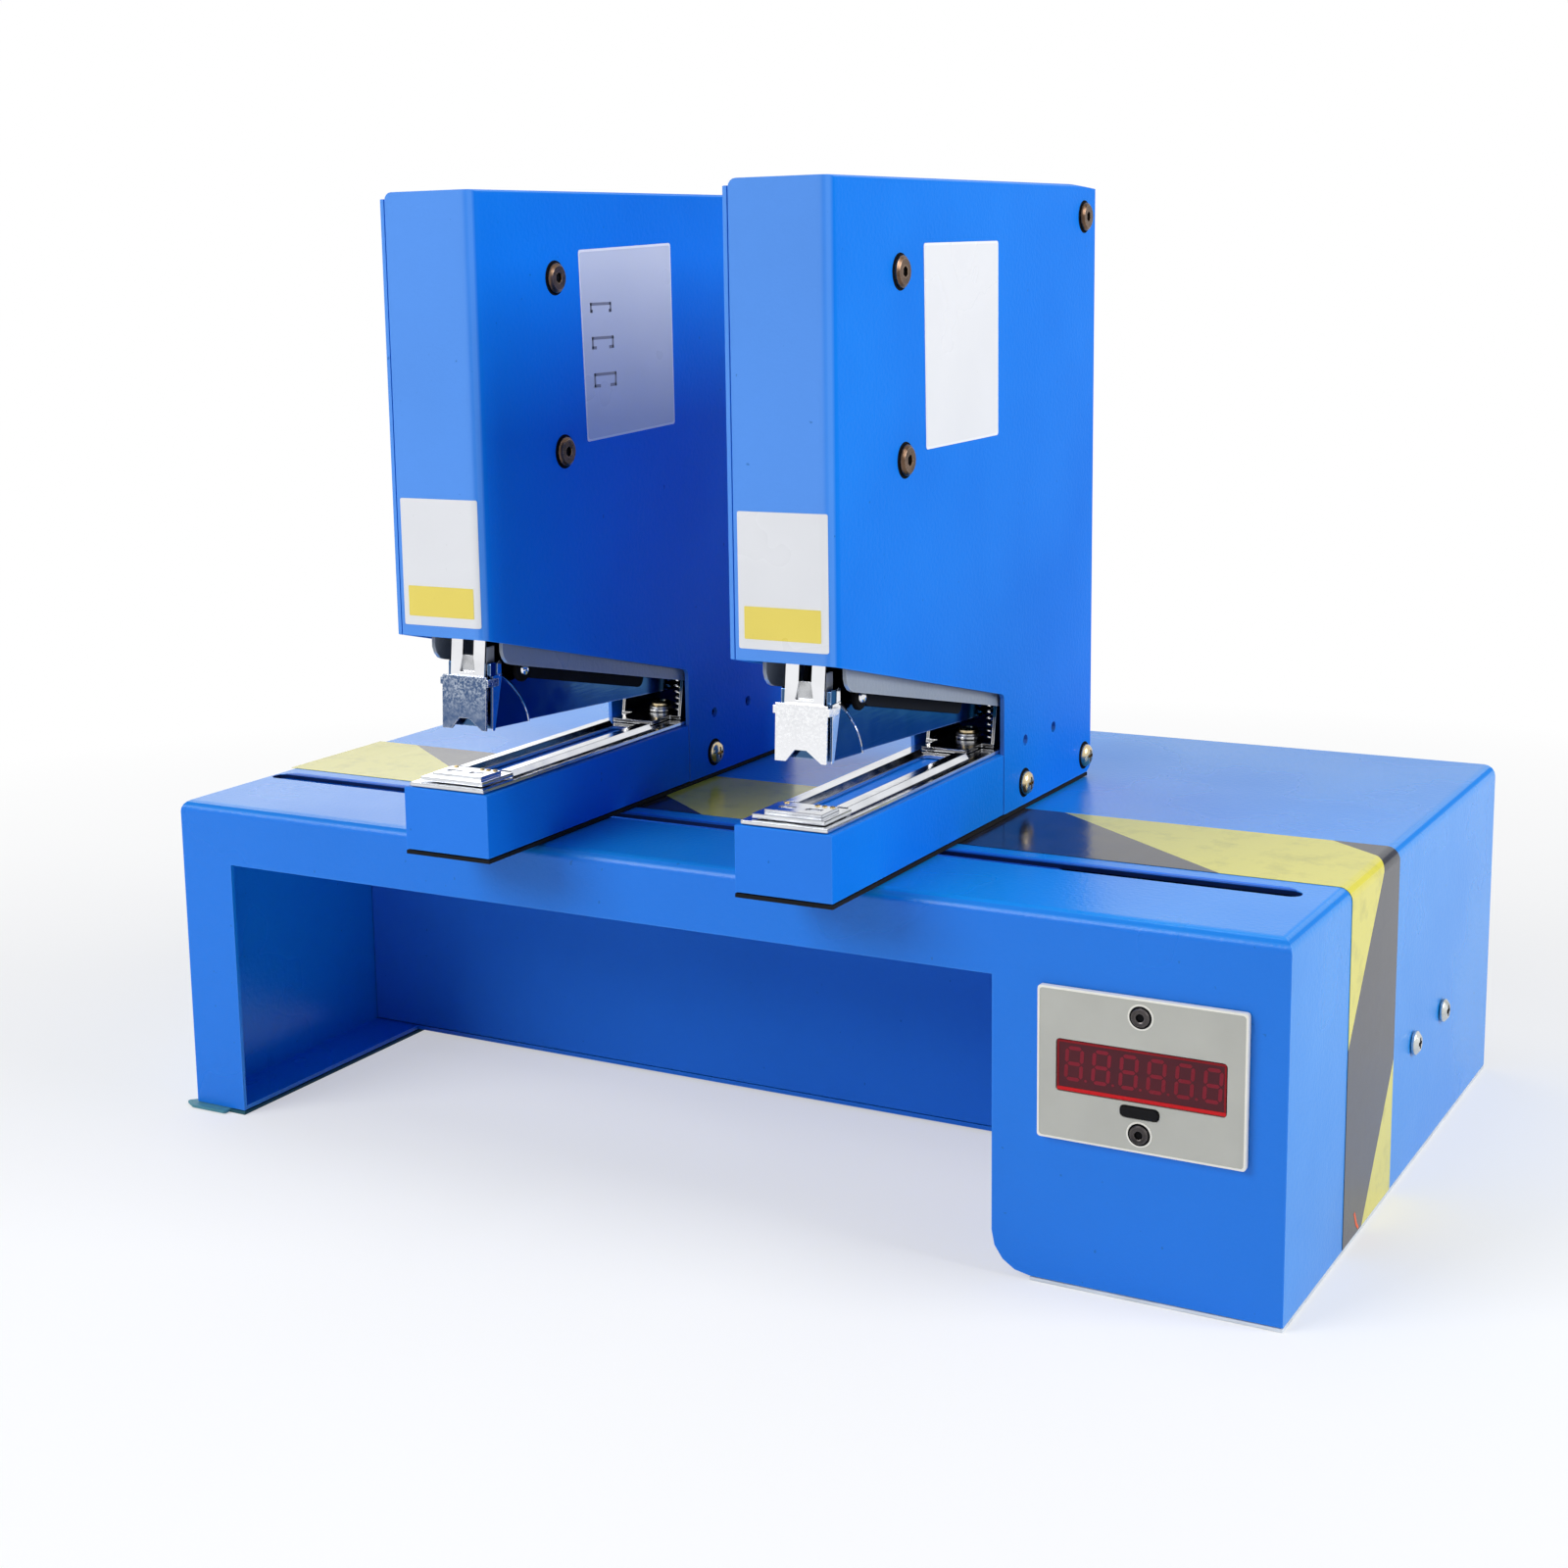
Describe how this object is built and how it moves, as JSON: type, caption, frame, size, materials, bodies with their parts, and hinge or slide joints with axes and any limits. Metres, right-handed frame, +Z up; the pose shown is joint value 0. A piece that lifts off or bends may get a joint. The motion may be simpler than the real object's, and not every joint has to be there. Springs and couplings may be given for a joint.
{
  "type": "pneumatic bench stapler",
  "caption": "Bench machine of folded sheet steel with air-driven stapling heads side by side, clamped in a slot across a low table with a knee recess and a counter box.",
  "frame": {"origin": "on the floor, under the middle of the bounding box", "axes": "+X to the right as the operator stands, along the table; +Y back, away from the operator; +Z up"},
  "size_m": [0.403, 0.293, 0.3215],
  "materials": {
    "blue_paint": "semi-gloss powder coat",
    "teal_rubber": "matt",
    "pale_foam": "matt",
    "pale_plastic": "satin",
    "red_window": "clear dark red, gloss",
    "black_plastic": "matt",
    "black_rubber": "matt",
    "aluminium": "satin",
    "yellow_zinc": "yellow zinc plate",
    "brass": "plated",
    "steel": "bright",
    "chrome": "polished",
    "black_steel": "black oxide",
    "grey_paint": "semi-gloss",
    "black_paint": "satin"
  },
  "bodies": {
    "base": {"base_shell": "blue_paint", "inner_panel": "blue_paint", "base_tray": "blue_paint", "pad_left": "teal_rubber", "pad_right": "pale_foam", "counter_bezel": "pale_plastic", "counter_window": "red_window", "counter_body": "black_plastic", "valve_body": "aluminium", "valve_screw_front": "yellow_zinc", "valve_screw_rear": "yellow_zinc", "air_inlet": "brass", "power_inlet": "black_plastic"},
    "counter_button": {"reset_button": "black_rubber"},
    "left_head": {"left_head_shell": "blue_paint", "left_side_cover": "blue_paint", "left_arm": "blue_paint", "left_arm_pad": "black_rubber", "left_clamp_bolt": "steel", "left_anvil_base": "chrome", "left_anvil": "chrome", "left_hinge_bracket": "chrome", "left_hinge_pin": "steel", "left_cylinder": "aluminium", "left_tie_bolt_upper": "black_steel", "left_tie_bolt_lower": "black_steel", "left_tie_bolt_rear": "black_steel", "left_return_spring": "steel"},
    "left_knob": {"left_clamp_knob": "black_plastic"},
    "left_piston": {"left_piston_rod": "steel"},
    "left_magazine_unit": {"left_magazine": "chrome", "left_nose_plate": "chrome", "left_staple_stick": "steel"},
    "left_pusher_unit": {"left_pusher": "steel"},
    "left_cover_unit": {"left_handle_cover": "grey_paint", "left_driver_lever": "black_paint", "left_driver": "chrome"},
    "right_head": {"right_head_shell": "blue_paint", "right_side_cover": "blue_paint", "right_arm": "blue_paint", "right_arm_pad": "black_rubber", "right_clamp_bolt": "steel", "right_anvil_base": "chrome", "right_anvil": "chrome", "right_hinge_bracket": "chrome", "right_hinge_pin": "steel", "right_cylinder": "aluminium", "right_tie_bolt_upper": "black_steel", "right_tie_bolt_lower": "black_steel", "right_tie_bolt_rear": "black_steel", "right_return_spring": "steel"},
    "right_knob": {"right_clamp_knob": "black_plastic"},
    "right_piston": {"right_piston_rod": "steel"},
    "right_magazine_unit": {"right_magazine": "chrome", "right_nose_plate": "chrome", "right_staple_stick": "steel"},
    "right_pusher_unit": {"right_pusher": "steel"},
    "right_cover_unit": {"right_handle_cover": "grey_paint", "right_driver_lever": "black_paint", "right_driver": "chrome"}
  },
  "joints": [
    {"name": "reset_press", "type": "slide", "parent": "base", "child": "counter_button", "axis": [0, 1, 0], "range_m": [0, 0.0012], "stiffness_N_per_m": 300, "springref_m": -0.003},
    {"name": "left_head_slide", "type": "slide", "parent": "base", "child": "left_head", "axis": [1, 0, 0], "range_m": [-0.117, 0.041]},
    {"name": "left_knob_turn", "type": "hinge", "parent": "left_head", "child": "left_knob", "pos_m": [-0.0627, -0.0708, 0.1057], "axis": [0, 0, 1], "continuous": true},
    {"name": "left_press", "type": "slide", "parent": "left_head", "child": "left_piston", "axis": [0, 0, -1], "range_m": [0, 0.01995], "stiffness_N_per_m": 400, "springref_m": -0.02},
    {"name": "left_magazine_hinge", "type": "hinge", "parent": "left_head", "child": "left_magazine_unit", "pos_m": [-0.0627, -0.0058, 0.152], "axis": [1, 0, 0], "range_deg": [0, 5.64], "deforming": ["left_return_spring"]},
    {"name": "left_cover_hinge", "type": "hinge", "parent": "left_magazine_unit", "child": "left_cover_unit", "pos_m": [-0.0627, -0.0058, 0.152], "axis": [1, 0, 0], "range_deg": [0, 3.86]},
    {"name": "left_pusher_slide", "type": "slide", "parent": "left_magazine_unit", "child": "left_pusher_unit", "axis": [0, 0.9985, -0.0541], "range_m": [0, 0.032], "stiffness_N_per_m": 20, "springref_m": -0.05},
    {"name": "right_head_slide", "type": "slide", "parent": "base", "child": "right_head", "axis": [1, 0, 0], "range_m": [-0.041, 0.038]},
    {"name": "right_knob_turn", "type": "hinge", "parent": "right_head", "child": "right_knob", "pos_m": [0.0578, -0.0708, 0.1057], "axis": [0, 0, 1], "continuous": true},
    {"name": "right_press", "type": "slide", "parent": "right_head", "child": "right_piston", "axis": [0, 0, -1], "range_m": [0, 0.01995], "stiffness_N_per_m": 400, "springref_m": -0.02},
    {"name": "right_magazine_hinge", "type": "hinge", "parent": "right_head", "child": "right_magazine_unit", "pos_m": [0.0578, -0.0058, 0.152], "axis": [1, 0, 0], "range_deg": [0, 5.64], "deforming": ["right_return_spring"]},
    {"name": "right_cover_hinge", "type": "hinge", "parent": "right_magazine_unit", "child": "right_cover_unit", "pos_m": [0.0578, -0.0058, 0.152], "axis": [1, 0, 0], "range_deg": [0, 3.86]},
    {"name": "right_pusher_slide", "type": "slide", "parent": "right_magazine_unit", "child": "right_pusher_unit", "axis": [0, 0.9985, -0.0541], "range_m": [0, 0.032], "stiffness_N_per_m": 20, "springref_m": -0.05}
  ],
  "couplings": [
    {"joint": "left_magazine_hinge", "follows": "left_press", "rad_per_m": 4.9293},
    {"joint": "left_cover_hinge", "follows": "left_press", "rad_per_m": 3.3739},
    {"joint": "right_magazine_hinge", "follows": "right_press", "rad_per_m": 4.9293},
    {"joint": "right_cover_hinge", "follows": "right_press", "rad_per_m": 3.3739}
  ]
}
